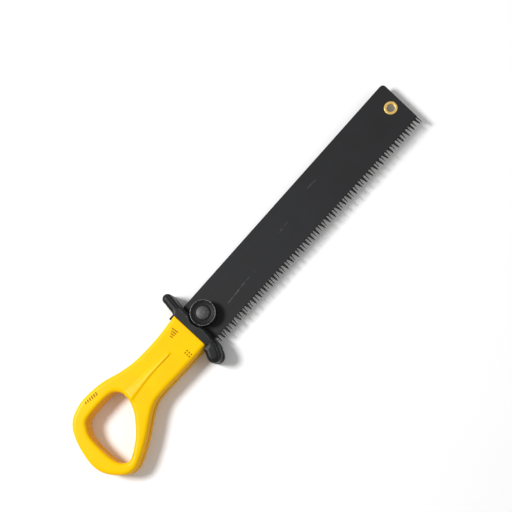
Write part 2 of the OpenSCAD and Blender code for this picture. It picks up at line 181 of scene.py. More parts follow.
class HandleSettings(bpy.types.PropertyGroup):
    """Sizes and colour of the two handle shells"""
    neck_top: length("Neck top", "Height of the neck's upper edge above the pivot", 14.7 * MM)
    neck_low: length("Neck low", "Depth of the neck's lower edge below the pivot", 18.8 * MM)
    edge_round: length("Edge rounding", "Rounding of the shells' outer edges", 3.3 * MM)
    hole_round: length("Hole rounding", "Rounding of the finger hole's edges", 3.2 * MM)
    rib_height: length("Rib height", "Height of the raised rib on the neck", 1.0 * MM)
    mark_height: length("Mark height", "Height of the raised bars and dots", 0.3 * MM)
    yellow: colour("Yellow", "Colour of the moulded handle", (0.95, 0.57, 0.0008))


class BladeSettings(bpy.types.PropertyGroup):
    """Teeth and finish of the blade"""
    pitch: length("Tooth pitch", "Distance between tooth points", 3.1 * MM)
    tooth: length("Tooth height", "Depth of the gullets between the teeth", 6.3 * MM)
    spread: length("Tooth set", "How far the tooth points are bent aside", 0.22 * MM)
    black: colour("Coating", "Colour of the black coating", (0.017, 0.017, 0.018))
    ground: colour("Ground steel", "Colour of the ground tooth flanks", (0.92, 0.88, 0.85))


class FittingSettings(bpy.types.PropertyGroup):
    """Guard, knob and metal fittings"""
    bevel: length("Guard bevel", "Width of the bevel on the guard's front side", 2.0 * MM)
    moulding: colour("Black moulding", "Colour of the guard", (0.0095, 0.0098, 0.0104))
    turned: colour("Black metal", "Colour of the knob and the button", (0.0115, 0.0115, 0.012))
    brass: colour("Brass", "Colour of the eyelet and the inserts", (0.83, 0.55, 0.16))
    steel: colour("Plated steel", "Colour of the screws and the liners", (0.62, 0.62, 0.6))


def degrees(name, description, default):
    """An angle in degrees that the user can change."""
    return bpy.props.FloatProperty(name=name, description=description, default=default)


def watts(name, description, default):
    """The power of a light."""
    return bpy.props.FloatProperty(
        name=name, description=description, default=default, min=0.0, unit="POWER")


class StageSettings(bpy.types.PropertyGroup):
    """Camera and lights"""
    tilt_deg: degrees("Tilt", "Camera tilt towards the teeth, in degrees", 14.0)
    roll_deg: degrees("Roll", "Turn of the saw in the picture, in degrees", 48.3)
    fov_deg: degrees("Field of view", "Angle of the camera's view, in degrees", 24.0)
    distance: length("Distance", "Distance from the camera to the saw", 0.962)
    key_power: watts("Key light", "Power of the large soft light", 24.5)
    fill_power: watts("Fill light", "Power of the fill light", 2.2)


# ---------------------------------------------------------------- shader maths

class Wire:
    """One shader socket. Python operators on it add Math nodes."""

    def __init__(self, finish, socket):
        self.finish = finish
        self.socket = socket

    def _maths(self, operation, first, second, clamp=False):
        settings = {"operation": operation, "use_clamp": clamp}
        return self.finish.node("ShaderNodeMath", settings, first, second)

    def __add__(self, other):
        return self._maths("ADD", self, other)

    def __sub__(self, other):
        return self._maths("SUBTRACT", self, other)

    def __rsub__(self, other):
        return self._maths("SUBTRACT", other, self)

    def __mul__(self, other):
        return self._maths("MULTIPLY", self, other)

    __radd__ = __add__
    __rmul__ = __mul__

    def size(self):
        """The value without its sign."""
        return self._maths("ABSOLUTE", self, 0.0)

    def over(self, limit, softness):
        """0 below limit, rising to 1 over the softness."""
        return self._maths("MULTIPLY", self - limit, 1.0 / softness, clamp=True)


class Finish:
    """A material with one Principled shader, built from Wires."""

    def __init__(self, name, **sockets):
        self.material = bpy.data.materials.new(name)
        self.material.use_nodes = True
        self.tree = self.material.node_tree
        self.shader = self.tree.nodes["Principled BSDF"]
        self.place = self.node("ShaderNodeTexCoord", {}, output="Object")
        self.set(**sockets)

    def link(self, value, socket):
        """Joins a Wire to a socket, or writes a plain value into it. None leaves the socket alone."""
        if isinstance(value, Wire):
            self.tree.links.new(value.socket, socket)
        elif value is not None:
            socket.default_value = value

    def node(self, kind, settings, *values, output=0, **named):
        """Adds a node: its settings first, then its sockets in order and by name."""
        made = self.tree.nodes.new(kind)
        for key, value in settings.items():
            setattr(made, key, value)
        for socket, value in zip(made.inputs, values):
            self.link(value, socket)
        for key, value in named.items():
            self.link(value, made.inputs[key.replace("_", " ")])
        return Wire(self, made.outputs[output])

    def set(self, **sockets):
        """Writes the shader's own sockets, with _ for each space in a name."""
        for key, value in sockets.items():
            self.link(value, self.shader.inputs[key.replace("_", " ")])

    def noise(self, scale, detail=3.0, stretch=None):
        """Cloudy value from 0 to 1. The scale counts per metre."""
        where = self.place
        if stretch:
            where = self.node("ShaderNodeMapping", {}, where, Scale=stretch)
        return self.node("ShaderNodeTexNoise", {}, Vector=where, Scale=scale, Detail=detail)

    def axis(self, name):
        """Object coordinate X, Y or Z, in metres."""
        return self.node("ShaderNodeSeparateXYZ", {}, self.place, output="XYZ".index(name))

    def blend(self, factor, first, second):
        """Mixes two colours. A Mix node has its colours on sockets 6 and 7, and the result on 2."""
        first, second = (c if isinstance(c, Wire) else (*c, 1.0) for c in (first, second))
        unused = [None] * 5
        return self.node("ShaderNodeMix", {"data_type": "RGBA"}, factor, *unused, first, second, output=2)

    def bump(self, height, microns):
        """Relief of a height from 0 to about 1, as deep as so many thousandths of a millimetre."""
        self.set(Normal=self.node("ShaderNodeBump", {}, Height=height, Distance=microns * MICRON,
                                  Strength=1.0))


def shade(tint, factor):
    """A colour made darker or lighter."""
    return tuple(min(1.0, channel * factor) for channel in tint)


FINISHES = {}


def finish(name):
    """The named material, made the first time that it is asked for."""
    if name not in FINISHES:
        FINISHES[name] = MAKERS[name]().material
    return FINISHES[name]


def yellow_moulding():
    """Glossy yellow plastic: slightly uneven colour, soft orange peel, fine handling marks, and painted
    shade on surfaces that face sideways.
    """
    yellow = tuple(bpy.context.scene.saw_handle.yellow)
    f = Finish("yellow_moulding", IOR=1.4, Specular_IOR_Level=0.13)
    clouds = f.noise(60.0, 4.0)
    grain = f.noise(900.0, 2.0)
    marks = f.noise(260.0, 5.0, stretch=(0.25, 1.0, 1.0))
    warm = f.blend(clouds.over(0.35, 0.4), yellow, (yellow[0], yellow[1] * 0.93, yellow[2]))
    # Painted shade: surfaces that face sideways, such as the walls and the hole's rim, are mixed towards
    # a darker orange yellow.
    normal = f.node("ShaderNodeTexCoord", {}, output="Normal")
    upright = f.node("ShaderNodeSeparateXYZ", {}, normal, output=2)
    side = (1 - upright.size()).over(0.3, 0.6)
    warm = f.blend(side * 0.75, warm, (yellow[0] * 0.86, yellow[1] * 0.6, yellow[2]))
    f.set(Base_Color=f.blend(marks.over(0.66, 0.2) * 0.25, warm, shade(yellow, 0.8)),
          Roughness=0.22 + 0.08 * clouds + 0.12 * marks.over(0.55, 0.3))
    f.bump(grain * 0.3 + clouds, 12)
    return f


def blackened_steel():
    """Black oxide on rolled steel: faint lengthwise grain, mottling and a few long bright scratches."""
    black = tuple(bpy.context.scene.saw_blade.black)
    f = Finish("blackened_steel", IOR=1.45, Specular_IOR_Level=0.24)
    rolled = f.noise(700.0, 3.0, stretch=(0.03, 1.0, 1.0))
    mottle = f.noise(45.0, 5.0)
    specks = f.noise(1400.0, 2.0)
    x, y = f.axis("X"), f.axis("Y")
    scratch = long_scratches(f, x, y)
    bluish = (black[0] * 1.15, black[1] * 1.18, black[2] * 1.25)
    base = f.blend(mottle.over(0.3, 0.5), shade(black, 0.9), bluish)
    base = f.blend(specks.over(0.72, 0.1) * 0.25, base, shade(black, 2.6))
    f.set(Base_Color=f.blend(scratch * 0.75, base, (0.34, 0.34, 0.33)),
          Roughness=0.5 + 0.12 * mottle + 0.08 * rolled,
          Metallic=0.05 + 0.6 * scratch)
    f.bump(rolled * 0.4 + specks * 0.3 + (1 - scratch) * 0.5, 10)
    return f


# Start, reach and height of each scratch from the pivot, and its slope
SCRATCHES_MM = [(17, 14, -8.4, 0.05), (30, 20, -7.5, 0.03), (86, 16, -1.0, 0.04), (128, 9, 6.0, -0.06)]


def long_scratches(f, x, y):
    """Thin straight lines on the blade, each from a start along a slight slope, broken up by noise."""
    breaks = f.noise(160.0, 2.0).over(0.42, 0.12)
    total = 0.0
    for start, reach, height, slope in SCRATCHES_MM:
        from_x = PIVOT[0] + start * MM
        line = PIVOT[1] + height * MM
        run = x - from_x
        off = (y - line - run * slope).size()
        thin = 1 - off.over(0.00004, 0.00006)
        inside = run.over(0.0, 0.002) * (1 - run.over(reach * MM, 0.003))
        total = thin * inside * breaks + total
    return total


def hardened_points():
    """Tooth points darkened by hardening, smoother than the coating and mottled."""
    f = Finish("hardened_points", IOR=1.45, Specular_IOR_Level=0.25)
    mottle = f.noise(900.0, 4.0)
    f.set(Base_Color=f.blend(mottle.over(0.4, 0.3), (0.004, 0.0035, 0.0035), (0.012, 0.011, 0.012)),
          Roughness=0.45 + 0.2 * mottle)
    f.bump(mottle, 10)
    return f


def mark_painted_shade():
    """Raised marks: the handle's yellow darkened to an amber brown all over, a painted shade for the
    shading round their raised edges; mottled by noise and dulled.
    """
    yellow = tuple(bpy.context.scene.saw_handle.yellow)
    f = Finish("mark_painted_shade", IOR=1.4, Specular_IOR_Level=0.2)
    shade_mottle = f.noise(1300.0, 4.0)
    # Painted shade: the marks' colour is a darker copy of the yellow, mixed by noise with a darker brown.
    f.set(Base_Color=f.blend(shade_mottle.over(0.42, 0.2), shade(yellow, 0.5), (0.2, 0.065, 0.003)),
          Roughness=0.45 + 0.3 * shade_mottle)
    f.bump(shade_mottle, 40)
    return f


def ground_steel():
    """Freshly ground tooth flanks with fine cross-grinding lines."""
    ground = tuple(bpy.context.scene.saw_blade.ground)
    f = Finish("ground_steel", IOR=2.0)
    lines = f.noise(2600.0, 2.0, stretch=(1.0, 0.08, 0.3))
    f.set(Base_Color=f.blend(lines, ground, shade(ground, 0.72)), Metallic=0.2,
          Roughness=0.32 + 0.15 * lines)
    f.bump(lines, 20)
    return f


def black_moulding():
    """Black plastic of the guard: satin face with a fine spark-eroded grain."""
    tint = tuple(bpy.context.scene.saw_fittings.moulding)
    f = Finish("black_moulding", IOR=1.45, Specular_IOR_Level=0.22)
    grain = f.noise(1500.0, 3.0)
    clouds = f.noise(90.0, 4.0)
    f.set(Base_Color=f.blend(clouds.over(0.4, 0.3), tint, (tint[0] * 1.35, tint[1] * 1.5, tint[2] * 1.4)),
          Roughness=0.3 + 0.12 * clouds + 0.05 * grain)
    f.bump(grain * 0.5 + clouds, 12)
    return f


def bevel_painted_highlight():
    """Painted highlight along the edge of the guard's bevel: a lighter grey line broken into patches by
    noise.
    """
    f = Finish("bevel_painted_highlight", IOR=1.45, Specular_IOR_Level=0.4)
    highlight_patches = f.noise(260.0, 5.0)
    # Painted highlight: noise mixes the line between near black and a light grey.
    f.set(Base_Color=f.blend(highlight_patches.over(0.38, 0.25), (0.018, 0.018, 0.019), (0.13, 0.13, 0.13)),
          Roughness=0.3 + 0.2 * highlight_patches)
    f.bump(highlight_patches, 10)
    return f


def black_turned():
    """Blackened turned metal of the knob, with rings from the lathe and rubbed high spots."""
    tint = tuple(bpy.context.scene.saw_fittings.turned)
    f = Finish("black_turned", IOR=1.45, Specular_IOR_Level=0.18)
    x, y = f.axis("X") - PIVOT[0], f.axis("Y") - PIVOT[1]
    radius = f.node("ShaderNodeMath", {"operation": "SQRT"}, x * x + y * y)
    rings = f.node("ShaderNodeMath", {"operation": "SINE"}, radius * 16000.0)
    mottle = f.noise(420.0, 4.0)
    f.set(Base_Color=f.blend(mottle.over(0.4, 0.35), shade(tint, 0.8), shade(tint, 1.6)),
          Roughness=0.42 + 0.14 * mottle, Metallic=0.03)
    f.bump(rings * 0.3 + mottle, 15)
    return f


def button_metal():
    """The button's cap: lighter, mottled and worn by the thumb."""
    tint = tuple(bpy.context.scene.saw_fittings.turned)
    f = Finish("button_metal", IOR=1.5, Metallic=0.2)
    mottle = f.noise(520.0, 5.0)
    fine = f.noise(2400.0, 2.0)
    f.set(Base_Color=f.blend(mottle.over(0.36, 0.3), shade(tint, 2.4), shade(tint, 4.6)),
          Roughness=0.38 + 0.2 * mottle)
    f.bump(mottle + fine * 0.3, 40)
    return f


def rim_painted_highlight():
    """The knob's rim: a lighter, partly metallic grey that paints the rim's highlight, broken into
    patches by noise.
    """
    f = Finish("rim_painted_highlight", IOR=1.8, Metallic=0.7)
    highlight_patches = f.noise(700.0, 4.0)
    # Painted highlight: noise mixes the rim between dark and light grey.
    f.set(Base_Color=f.blend(highlight_patches.over(0.4, 0.25), (0.05, 0.05, 0.05), (0.3, 0.3, 0.3)),
          Roughness=0.3 + 0.2 * highlight_patches)
    f.bump(highlight_patches, 30)
    return f


def metal(name, tint, rough, scale):
    """Plain metal with small differences in shade and gloss."""
    f = Finish(name, Metallic=1.0)
    clouds = f.noise(scale, 4.0)
    fine = f.noise(scale * 8.0, 2.0)
    f.set(Base_Color=f.blend(clouds.over(0.35, 0.4), tint, shade(tint, 0.78)),
          Roughness=rough + 0.14 * clouds)
    f.bump(clouds + fine * 0.4, 20)
    return f


def brass():
    """Polished brass of the inserts."""
    return metal("brass", tuple(bpy.context.scene.saw_fittings.brass), 0.2, 300.0)


def bright_brass():
    """Lacquered brass of the eyelet: the lacquer scatters light, so it stays bright and yellow."""
    tint = tuple(bpy.context.scene.saw_fittings.brass)
    f = metal("bright_brass", shade(tint, 1.12), 0.24, 500.0)
    f.set(Metallic=0.45)
    return f


def plated_steel():
    """Plated steel of the screws, the liners and the pin."""
    return metal("plated_steel", tuple(bpy.context.scene.saw_fittings.steel), 0.28, 220.0)


def bronze():
    """Sintered bronze of the thrust washers."""
    return metal("bronze", (0.5, 0.27, 0.12), 0.4, 900.0)


def pale_floor():
    """Plain white studio floor."""
    f = Finish("pale_floor", IOR=1.4)
    clouds = f.noise(8.0, 3.0)
    f.set(Base_Color=f.blend(clouds, (0.97, 0.97, 0.97), (0.955, 0.955, 0.955)),
          Roughness=0.6 + 0.1 * clouds)
    f.bump(clouds, 100)
    return f


MAKERS = {maker.__name__: maker for maker in (
    yellow_moulding, mark_painted_shade, blackened_steel, hardened_points, ground_steel, black_moulding,
    bevel_painted_highlight, black_turned, button_metal, rim_painted_highlight, brass, bright_brass, plated_steel, bronze,
    pale_floor)}


# ---------------------------------------------------------------- surfaces

class Skin:
    """Gathers grids of points, in millimetres from the pivot, and makes one mesh of them."""

    def __init__(self):
        self.points = []
        self.quads = []
        self.slots = []
        self.count = 0

    def grid(self, points, slot=0, closed=False):
        """Adds a grid of points (rows, columns, 3). A closed grid joins its last row to its first."""
        points = np.asarray(points, float)
        rows, columns = points.shape[:2]
        index = np.arange(rows * columns).reshape(rows, columns) + self.count
        if closed:
            index = np.vstack([index, index[:1]])
        quads = np.stack([index[:-1, :-1], index[1:, :-1], index[1:, 1:], index[:-1, 1:]], -1)
        self.points.append(points.reshape(-1, 3))
        self.quads.append(quads.reshape(-1, 4))
        self.slots.append(np.full(len(self.quads[-1]), slot))
        self.count += rows * columns
        return self

    def mesh(self, name, finishes, sharp_deg=SHARP_DEG):
        """One mesh of all the grids, in metres. Each slot number stands for one of the finishes."""
        points = np.vstack(self.points) * MM + PIVOT
        made = bpy.data.meshes.new(name)
        made.from_pydata(points, [], np.vstack(self.quads))
        for each in finishes:
            made.materials.append(finish(each))
        made.polygons.foreach_set("material_index", np.concatenate(self.slots).astype(np.int32))
        tidy(made)
        made.set_sharp_from_angle(angle=math.radians(sharp_deg))
        return made


def tidy(mesh):
    """Merges doubled points, drops empty faces and turns every face outwards."""
    work = bmesh.new()
    work.from_mesh(mesh)
    bmesh.ops.remove_doubles(work, verts=work.verts, dist=2e-7)
    bmesh.ops.dissolve_degenerate(work, edges=work.edges, dist=1e-7)
    bmesh.ops.recalc_face_normals(work, faces=work.faces)
    for face in work.faces:
        face.smooth = True
    work.to_mesh(mesh)
    work.free()


def put(name, data):
    """A new object in the scene."""
    thing = bpy.data.objects.new(name, data)
    bpy.context.scene.collection.objects.link(thing)
    return thing


def add_piece(mesh, body, slot, *nodes):
    """Puts a mesh in the scene as a piece that rides on a body and stands for construction nodes."""
    piece = put(mesh.name, mesh)
    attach(piece, body)
    if nodes:
        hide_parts(*nodes)
    return piece


def cut(piece, cutters, operation="DIFFERENCE", sharp_deg=SHARP_DEG):
    """Takes closed meshes away from a piece for good, or joins them to it."""
    for cutter_mesh in cutters:
        cutter = put("cutter", cutter_mesh)
        tool = piece.modifiers.new("cut", "BOOLEAN")
        tool.operation = operation
        tool.solver = "MANIFOLD"
        tool.object = cutter
        bpy.context.view_layer.update()
        shaped = piece.evaluated_get(bpy.context.evaluated_depsgraph_get())
        result = bpy.data.meshes.new_from_object(shaped)
        piece.modifiers.clear()
        old = piece.data
        result.name = old.name
        piece.data = result
        bpy.data.objects.remove(cutter)
        bpy.data.meshes.remove(old)
    piece.data.set_sharp_from_angle(angle=math.radians(sharp_deg))


def catmull(points, steps, closed=False):
    """Catmull-Rom curve through points, the same one that the construction uses."""
    p = np.asarray(points, float)
    ring = np.vstack([p[-1:], p, p[:2]]) if closed else np.vstack([p[:1], p, p[-1:]])
    t = np.linspace(0, 1, steps, endpoint=False)[:, None, None]
    a, b, c, d = ring[:-3], ring[1:-2], ring[2:-1], ring[3:]
    curve = 0.5 * (2 * b + (c - a) * t + (2 * a - 5 * b + 4 * c - d) * t ** 2
                   + (3 * b - a - 3 * c + d) * t ** 3)
    curve = curve.transpose(1, 0, 2).reshape(-1, p.shape[1])
    return curve if closed else np.vstack([curve, p[-1:]])


def arc_length(curve):
    """Length of the curve from its start to each of its points."""
    steps = np.linalg.norm(np.diff(curve, axis=0), axis=1)
    return np.concatenate([[0.0], np.cumsum(steps)])


def at_share(curve, share):
    """Points at shares (0 to 1) of a curve's length."""
    run = arc_length(curve)
    return np.stack([np.interp(share * run[-1], run, curve[:, k]) for k in range(curve.shape[1])], -1)


def distance_to(points, curve):
    """Shortest distance in X and Y from each point of a grid to the straight pieces of a curve."""
    flat = points.reshape(-1, points.shape[-1])[:, :2]
    start, step = curve[:-1], np.diff(curve, axis=0)
    nearest = []
    for part in np.array_split(flat, 40):
        away = part[:, None] - start[None]
        share = np.clip((away * step).sum(-1) / (step ** 2).sum(-1), 0, 1)
        nearest.append(np.linalg.norm(away - share[..., None] * step, axis=-1).min(1))
    return np.concatenate(nearest).reshape(points.shape[:-1])


def round_drop(distance, radius):
    """How far a rounded edge has fallen at a distance from the edge: a quarter circle."""
    inner = np.clip(radius - distance, 0, radius)
    return radius - np.sqrt(radius ** 2 - inner ** 2)


def with_z(xy, z):
    """Puts heights on a grid of X and Y."""
    return np.concatenate([xy, np.broadcast_to(z, xy.shape[:-1])[..., None]], -1)


def turned_body(profile, centre, steps=96):
    """A profile of (radius, height) points turned about Z through centre: x = r cos a, y = r sin a."""
    profile = np.asarray(profile, float)
    angle = np.linspace(0, 2 * np.pi, steps, endpoint=False)[:, None]
    radius, height = profile[None, :, 0], profile[None, :, 1]
    return np.stack([centre[0] + radius * np.cos(angle), centre[1] + radius * np.sin(angle),
                     height + 0 * angle], -1)


def turned_mesh(name, finish_name, profile, centre=(0, 0), steps=96):
    """A mesh of one turned profile."""
    return Skin().grid(turned_body(profile, centre, steps), closed=True).mesh(name, [finish_name])


def bore(finish_name, centre, radius, start, end, steps):
    """A plain round cutter between two heights."""
    profile = [(0, start), (radius, start), (radius, end), (0, end)]
    return turned_mesh("bore", finish_name, profile, centre, steps)


def arc(centre, radius, start_deg, end_deg, steps=8):
    """Points on an arc of a profile, as (radius, height) pairs."""
    a = np.radians(np.linspace(start_deg, end_deg, steps))
    return [(centre[0] + radius * math.cos(k), centre[1] + radius * math.sin(k)) for k in a]


# ---------------------------------------------------------------- handle

# Share of the grip's length behind the guard, and share from the neck's edge to the loop's edge
UPPER_EDGE = [(0, 0.16), (0.168, 0), (0.35, 0.06), (0.472, 0.34), (0.596, 0.8), (0.719, 1),
              (0.811, 0.93), (0.904, 0.45), (0.965, -0.65)]
LOWER_EDGE = [(1, -0.24), (0.981, 0.34), (0.908, 0.85), (0.846, 1), (0.784, 0.94), (0.661, 0.625),
              (0.538, 0.21), (0.48, 0.054), (0.418, -0.017), (0.233, 0), (0, 0.02)]
# Finger hole as shares of its box, from its front point over the top
HOLE_SHARES = [(1, 0.722), (0.972, 0.896), (0.787, 1), (0.243, 1), (0.093, 0.896), (0.012, 0.722),
               (0, 0.374), (0.046, 0.113), (0.174, 0), (0.289, 0.008), (0.417, 0.077), (0.602, 0.192),
               (0.782, 0.357), (0.914, 0.514)]


def handle_curves():
    """The shell's outer edge from front top round the butt to front bottom, and the finger hole."""
    s = bpy.context.scene.saw_handle
    front = SHELL_HIGH[0]
    top, low = s.neck_top / MM, s.neck_low / MM
    upper = [(front - a * GRIP_MM, top + b * (LOOP_TOP_MM - top)) for a, b in UPPER_EDGE]
    lower = [(front - a * GRIP_MM, -low - b * (LOOP_LOW_MM - low)) for a, b in LOWER_EDGE]
    outer = catmull(upper + lower, 30)
    hole_back = front - GRIP_MM + BAR_BUTT_MM
    hole_low, hole_top = BAR_LOW_MM - LOOP_LOW_MM, LOOP_TOP_MM - BAR_TOP_MM
    hole = catmull([(hole_back + a * HOLE_LENGTH_MM, hole_low + b * (hole_top - hole_low))
                    for a, b in HOLE_SHARES], 40, closed=True)
    return outer, np.vstack([hole, hole[:1]])


def rib_middle(x):
    """Height of the rib's centre line along the neck."""
    front = SHELL_HIGH[0]
    return np.interp(x, [front - 72, front - 48, front - 24, front], [-0.4, 0.0, -1.3, -1.6])


def rib_rise(x, y):
    """Height of the neck's tapered rib: a long slope from its upper edge to a steep lower edge."""
    front = SHELL_HIGH[0]
    reach = front - x
    half = np.interp(reach, [24, 40, 56, 72], [1.5, 2.0, 2.9, 4.2])
    across = (y - rib_middle(x)) / half
    slope = np.interp(across, [-1.15, -0.8, -0.55, 0.3, 1.1], [0.0, 0.9, 1.0, 0.75, 0.0])
    ends = np.interp(reach, [23.0, 24.8, 71.5, 74.0], [0.0, 1.0, 1.0, 0.0])
    return slope * ends


def open_slot(xy):
    """1 where the folded blade lies between the shells, 0 where the two shells meet."""
    turn = math.radians(FOLD_DEG)
    along_teeth = math.cos(turn) * xy[..., 1] + math.sin(turn) * xy[..., 0]
    step_width = 0.4
    return np.clip((along_teeth + TIP_DEPTH_MM + LAND_GAP_MM) / step_width, 0, 1)


def shell_columns(outer, hole):
    """Pairs each point of the outer edge with a point on the rib's middle line or on the hole."""
    run = arc_length(outer)
    share = run / run[-1]
    past = np.nonzero(outer[:, 0] < hole[0, 0] + 1.0)[0]
    first, last = share[past[0]], share[past[-1]]
    near_front = np.array([0, 0.12, 0.3, 0.5, 0.75, 1.0, 1.5, 2.2])
    along = np.unique(np.concatenate([near_front / (run[-1] * first), np.linspace(0.05, 1, 75)]))
    front = SHELL_HIGH[0]
    neck_x = front + (hole[0, 0] - front) * along
    neck = np.stack([neck_x, rib_middle(neck_x)], -1)
    neck[-1] = hole[0]
    loop = np.linspace(0, 1, 190)[1:-1]
    edge = np.vstack([at_share(outer, along * first), at_share(outer, first + loop * (last - first)),
                      at_share(outer, 1 - along[::-1] * (1 - last))])
    inner = np.vstack([neck, at_share(hole, loop), neck[::-1]])
    return edge, inner, len(neck)


# Rounding of the neck's front end, half the gap at the parting line, and the gap to the liner
FRONT_ROUND_MM = 0.7
PARTING_MM = 0.03
LINER_GAP_MM = 0.05


def shell_skin(front_side):
    """One half of the handle. The face falls off in quarter circles at the edge and round the hole:
    z = face + rib - drop(distance to edge) - drop(distance to hole)."""
    s = bpy.context.scene.saw_handle
    outer, hole = handle_curves()
    edge, inner, neck = shell_columns(outer, hole)
    edge_r, hole_r = s.edge_round / MM, s.hole_round / MM
    rib_h = s.rib_height / MM
    gap = np.linalg.norm(inner - edge, axis=1)[:, None]
    near_edge = edge_r * 1.1 * (1 - np.cos(np.linspace(0, np.pi / 2, 11)))[None]
    near_hole = np.array([5.0, 4.4, 3.9, 3.4, 3.0, 2.6, 2.3, 2.0, 1.7, 1.4, 1.15, 0.9, 0.68, 0.5, 0.34,
                          0.2, 0.1, 0.03, 0])[None]
    shrink = np.minimum(1, gap / (near_edge.max() + near_hole.max() + 1.0))
    from_edge = near_edge * shrink / gap
    from_hole = 1 - near_hole * shrink / gap
    middle = from_edge[:, -1:] + (from_hole[:, :1] - from_edge[:, -1:]) * np.linspace(0, 1, 8)[None, 1:-1]
    weight = np.concatenate([from_edge, middle, from_hole], 1)[..., None]
    xy = edge[:, None] * (1 - weight) + inner[:, None] * weight
    face = SHELL_HIGH[2] - rib_h
    z = face - round_drop(distance_to(xy, outer), edge_r) - round_drop(distance_to(xy, hole), hole_r)
    z = z - round_drop(SHELL_HIGH[0] - xy[..., 0], FRONT_ROUND_MM)
    z = z + (rib_h * rib_rise(xy[..., 0], xy[..., 1]) if front_side else 0)
    if not front_side:
        z = z + rib_h * np.clip(distance_to(xy, outer) / edge_r, 0, 1) * np.clip(
            distance_to(xy, hole) / hole_r, 0, 1)
        z = np.minimum(z, SHELL_HIGH[2])
    low = PARTING_MM + (SLOT_Z + LINER_GAP_MM - PARTING_MM) * open_slot(xy)
    side = 1.0 if front_side else -1.0
    skin = Skin()
    top, under = with_z(xy, side * z), with_z(xy, side * low)
    skin.grid(top).grid(under)
    hole_wall = slice(neck - 1, len(edge) - neck + 1)
    for place in ((slice(None), 0), (hole_wall, -1), (0,), (-1,)):
        skin.grid(wall(top[place], under[place], side))
    return skin


def wall(top, under, side):
    """Side of a shell from its rounded edge down to a small chamfer at the parting line."""
    lip = under + np.array([0, 0, CHAMFER_MM * side])
    return np.stack([top * (1 - share) + lip * share for share in np.linspace(0, 1, 6)] + [under])


def pad(centre, half_long, half_wide, turn_deg, base, height):
    """A raised bar with round ends and a domed top: height * sqrt(1 - (distance from the middle
    line / half width) ** 2), over a stadium outline."""
    around = np.linspace(0, 2 * np.pi, 20, endpoint=False)[:, None]
    inward = np.cos(np.linspace(0, np.pi / 2, 6))[None]
    reach = half_long - half_wide
    x = half_wide * np.cos(around) * inward + np.sign(np.cos(around)) * reach
    y = half_wide * np.sin(around) * inward
    z = base + height * np.sqrt(1 - inward ** 2) + 0 * around
    x, y = (np.concatenate([v[:, -1:], v[:, :1], v], 1) for v in (x, y))
    z = np.concatenate([z[:, :2] * 0 + base - 0.3, z], 1)
    turn = math.radians(turn_deg)
    return np.stack([centre[0] + x * math.cos(turn) - y * math.sin(turn),
                     centre[1] + x * math.sin(turn) + y * math.cos(turn), z], -1)


# Centre, half length, half width and turn of each raised mark on the front face
MARKS_MM = ([((-25.2 - 1.9 * k, 7.4 - 0.5 * k), 3.2 - 0.6 * k, 0.5, 96) for k in range(4)]
            + [((-30.4 - 2.3 * i, -11.2 - 2.2 * j), 0.78, 0.6, 30) for i in range(2) for j in range(3)]
            + [((-104.8 - 2.2 * k, 20.9 + 0.3 * k), 1.8 - 0.12 * k, 0.5, 70) for k in range(6)])


def mark_skin():
    """The raised bars and dots on the front shell's face."""
    s = bpy.context.scene.saw_handle
    face = SHELL_HIGH[2] - s.rib_height / MM
    skin = Skin()
    for centre, half_long, half_wide, turn in MARKS_MM:
        skin.grid(pad(centre, half_long, half_wide, turn, face, s.mark_height / MM), closed=True)
    return skin


def screw_places():
    """Centres of the three handle screws, from the construction node's loose parts."""
    mesh = frame["nodes"]["handle_screws"].data
    points = np.empty(len(mesh.vertices) * 3)
    mesh.vertices.foreach_get("co", points)
    points = (points.reshape(-1, 3) - PIVOT) / MM
    order = np.argsort(points[:, 0])
    points = points[order]
    breaks = np.nonzero(np.diff(points[:, 0]) > 5.0)[0] + 1
    return [(group.min(0) + group.max(0))[:2] / 2 for group in np.split(points, breaks)]


class SAW_OT_handle(bpy.types.Operator):
    """Makes both moulded shells with the finger loop, the rib and the raised marks"""
    bl_idname = "saw.handle"
    bl_label = "Handle shells"

    def execute(self, context):
        front = shell_skin(True).mesh("handle_front_shell_moulding", ["yellow_moulding"])
        add_piece(front, "handle", "yellow_plastic", "handle_front_shell")
        marks = mark_skin().mesh("handle_raised_marks", ["mark_painted_shade"])
        add_piece(marks, "handle", "yellow_plastic")
        back = shell_skin(False).mesh("handle_back_shell_moulding", ["yellow_moulding"])
        piece = add_piece(back, "handle", "yellow_plastic", "handle_back_shell")
        face = BACK_SHELL_LOW[2]
        cut(piece, [bore("yellow_moulding", place, COUNTERBORE_MM["radius"], face - 1,
                         face + COUNTERBORE_MM["depth"], 48) for place in screw_places()])
        return {"FINISHED"}


# ---------------------------------------------------------------- blade

def blade_edges(x):
    """Lower edge (bottom of the gullets) and upper edge (back) of the blade at x."""
    s = bpy.context.scene.saw_blade
    heel, tip = HEEL_X_MM, BLADE_HIGH[0]
    depth = HEEL_DEPTH_MM + (TIP_DEPTH_MM - HEEL_DEPTH_MM) * (x - heel) / (tip - heel)
    low = -depth + s.tooth / MM
    high = np.full_like(x, BLADE_HIGH[1])
    corner = np.clip(x - (tip - TIP_R_MM), 0, TIP_R_MM)
    high = high - (TIP_R_MM - np.sqrt(TIP_R_MM ** 2 - corner ** 2))
    high = high - np.clip(heel + HEEL_CUT_MM[0] - x, 0, None) * HEEL_CUT_MM[1] / HEEL_CUT_MM[0]
    return low, high


